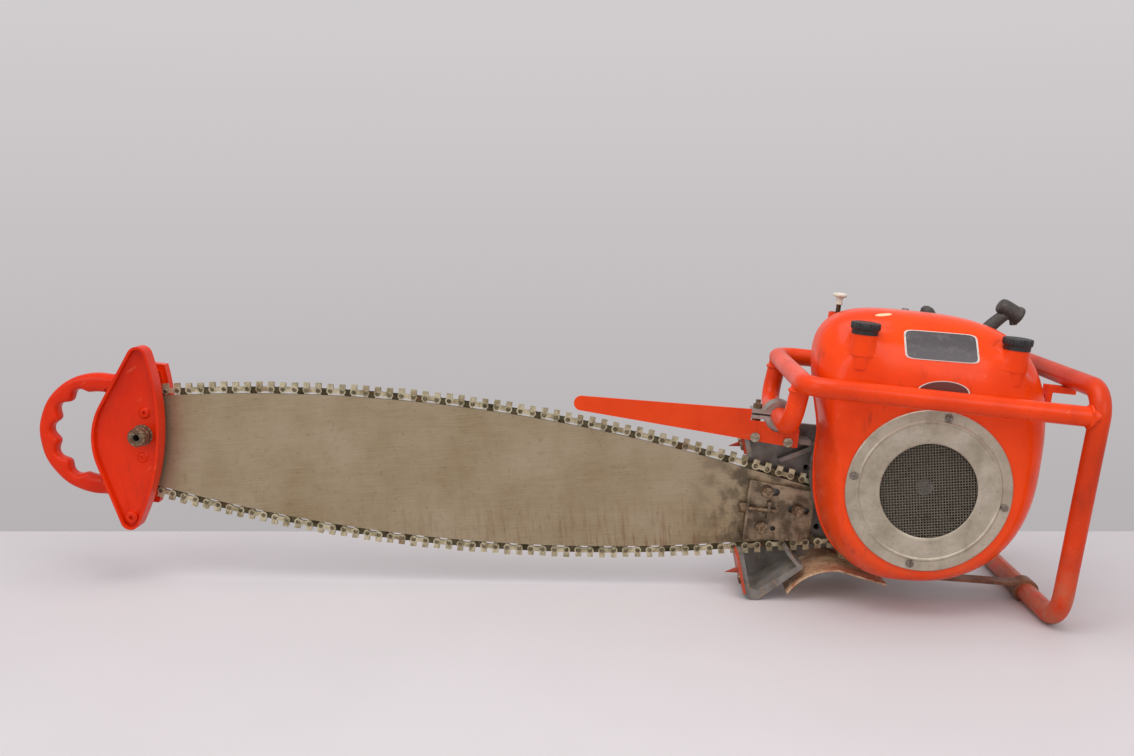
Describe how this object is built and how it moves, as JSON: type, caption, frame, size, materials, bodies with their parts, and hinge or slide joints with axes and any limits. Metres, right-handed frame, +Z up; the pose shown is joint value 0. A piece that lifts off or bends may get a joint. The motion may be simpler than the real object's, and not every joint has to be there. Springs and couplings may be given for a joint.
{
  "type": "two man chainsaw",
  "caption": "Two man petrol chainsaw with a wide guide bar, helper's D-handle, eye-shaped nose guard, round fan cowl and tubular carrying frame.",
  "frame": {"origin": "middle of the bounding box at ground level, with the saw resting on its bracket foot and its skid tube", "axes": "+X from the helper's handle towards the rear hoop, +Y away from the side with the cowl, +Z up"},
  "size_m": [1.3392, 0.2998, 0.3904],
  "materials": {
    "frame_paint": "gloss",
    "cowl_paint": "gloss",
    "guard_paint": "gloss",
    "bumper_paint": "satin",
    "bare_aluminium": "satin",
    "cast_alloy": "matt",
    "bracket_metal": "matt",
    "bar_steel": "satin",
    "chain_steel": "satin",
    "plate_steel": "matt",
    "fastener_steel": "satin",
    "gear_steel": "satin",
    "exhaust_steel": "matt",
    "strap_steel": "matt",
    "mesh_paint": "matt",
    "black_plastic": "matt",
    "knob_plastic": "satin",
    "ceramic": "gloss",
    "lining": "matt"
  },
  "bodies": {
    "frame": {"rail_loop": "frame_paint", "rear_hoop": "frame_paint", "front_handle": "frame_paint", "frame_clamp": "bare_aluminium", "clamp_bolt": "fastener_steel", "skid_strap": "strap_steel", "rear_stay": "cowl_paint", "bar_bracket": "bracket_metal", "bumper_plates": "bumper_paint", "bumper_bolts": "fastener_steel", "clamp_plate": "plate_steel", "bar_bolts": "fastener_steel", "hand_guard": "guard_paint", "guard_screws": "fastener_steel", "guide_bar": "bar_steel", "chain_cutter_links": "chain_steel", "chain_raker_links": "chain_steel", "chain_drive_links": "chain_steel", "chain_rivets": "fastener_steel", "nose_guard": "guard_paint", "nose_guard_back": "guard_paint", "helper_handle": "guard_paint", "nose_bolts": "fastener_steel", "cowl": "cowl_paint", "intake_ring": "bare_aluminium", "intake_mesh": "mesh_paint", "ring_screws": "fastener_steel", "filler_necks": "cowl_paint", "fan_back_plate": "cast_alloy", "cowl_bolts": "fastener_steel", "oil_pump_body": "cowl_paint", "oil_spring": "fastener_steel", "crankcase": "cast_alloy", "finned_barrel": "cast_alloy", "cylinder_head": "bare_aluminium", "spark_plug": "ceramic", "plug_cap": "black_plastic", "carburettor": "cast_alloy", "air_filter": "black_plastic", "throttle_perch": "cast_alloy", "muffler": "exhaust_steel", "exhaust_deflector": "exhaust_steel", "gearcase": "cast_alloy", "gearcase_cover": "cast_alloy", "clutch_cover": "cast_alloy", "bearings": "gear_steel"},
    "crank": {"crankshaft": "gear_steel", "flywheel": "cast_alloy", "clutch_shoes": "lining", "starter_pulley": "bare_aluminium"},
    "pinion": {"clutch_drum": "gear_steel"},
    "gear": {"driven_gear": "gear_steel", "drive_sprocket": "gear_steel"},
    "piston": {"piston": "bare_aluminium"},
    "tension_screw": {"tension_screw": "fastener_steel"},
    "fuel_cap": {"fuel_cap": "black_plastic"},
    "oil_cap": {"oil_cap": "black_plastic"},
    "oil_plunger": {"oil_plunger": "knob_plastic"},
    "throttle_lever": {"throttle_lever": "fastener_steel"}
  },
  "joints": [
    {"name": "gear_spin", "type": "hinge", "parent": "frame", "child": "gear", "pos_m": [0.40424, 0, 0.09835], "axis": [0, 1, 0], "continuous": true},
    {"name": "pinion_spin", "type": "hinge", "parent": "frame", "child": "pinion", "pos_m": [0.47253, 0, 0.16257], "axis": [0, 1, 0], "continuous": true},
    {"name": "crank_spin", "type": "hinge", "parent": "frame", "child": "crank", "pos_m": [0.47253, 0, 0.16257], "axis": [0, 1, 0], "continuous": true},
    {"name": "piston_slide", "type": "slide", "parent": "frame", "child": "piston", "axis": [0.4734, 0, 0.8808], "range_m": [-0.046, 0]},
    {"name": "pump_slide", "type": "slide", "parent": "frame", "child": "oil_plunger", "axis": [0.1003, 0, 0.995], "range_m": [-0.012, 0], "stiffness_N_per_m": 400, "springref_m": 0.004, "deforming": ["oil_spring"]},
    {"name": "fuel_cap_lift", "type": "slide", "parent": "frame", "child": "fuel_cap", "axis": [0.1003, 0, 0.995], "range_m": [0, 0.03]},
    {"name": "oil_cap_lift", "type": "slide", "parent": "frame", "child": "oil_cap", "axis": [0.1003, 0, 0.995], "range_m": [0, 0.03]},
    {"name": "throttle_hinge", "type": "hinge", "parent": "frame", "child": "throttle_lever", "pos_m": [0.53979, 0.138, 0.23658], "axis": [0, 1, 0], "range_deg": [-15, 0], "stiffness_Nm_per_rad": 0.8, "springref_deg": 5.73},
    {"name": "tension_turn", "type": "hinge", "parent": "frame", "child": "tension_screw", "pos_m": [0.28574, -0.0102, 0.10929], "axis": [0.995, 0, -0.1003], "continuous": true}
  ],
  "couplings": [
    {"joint": "pinion_spin", "follows": "gear_spin", "ratio": -2.5714}
  ]
}
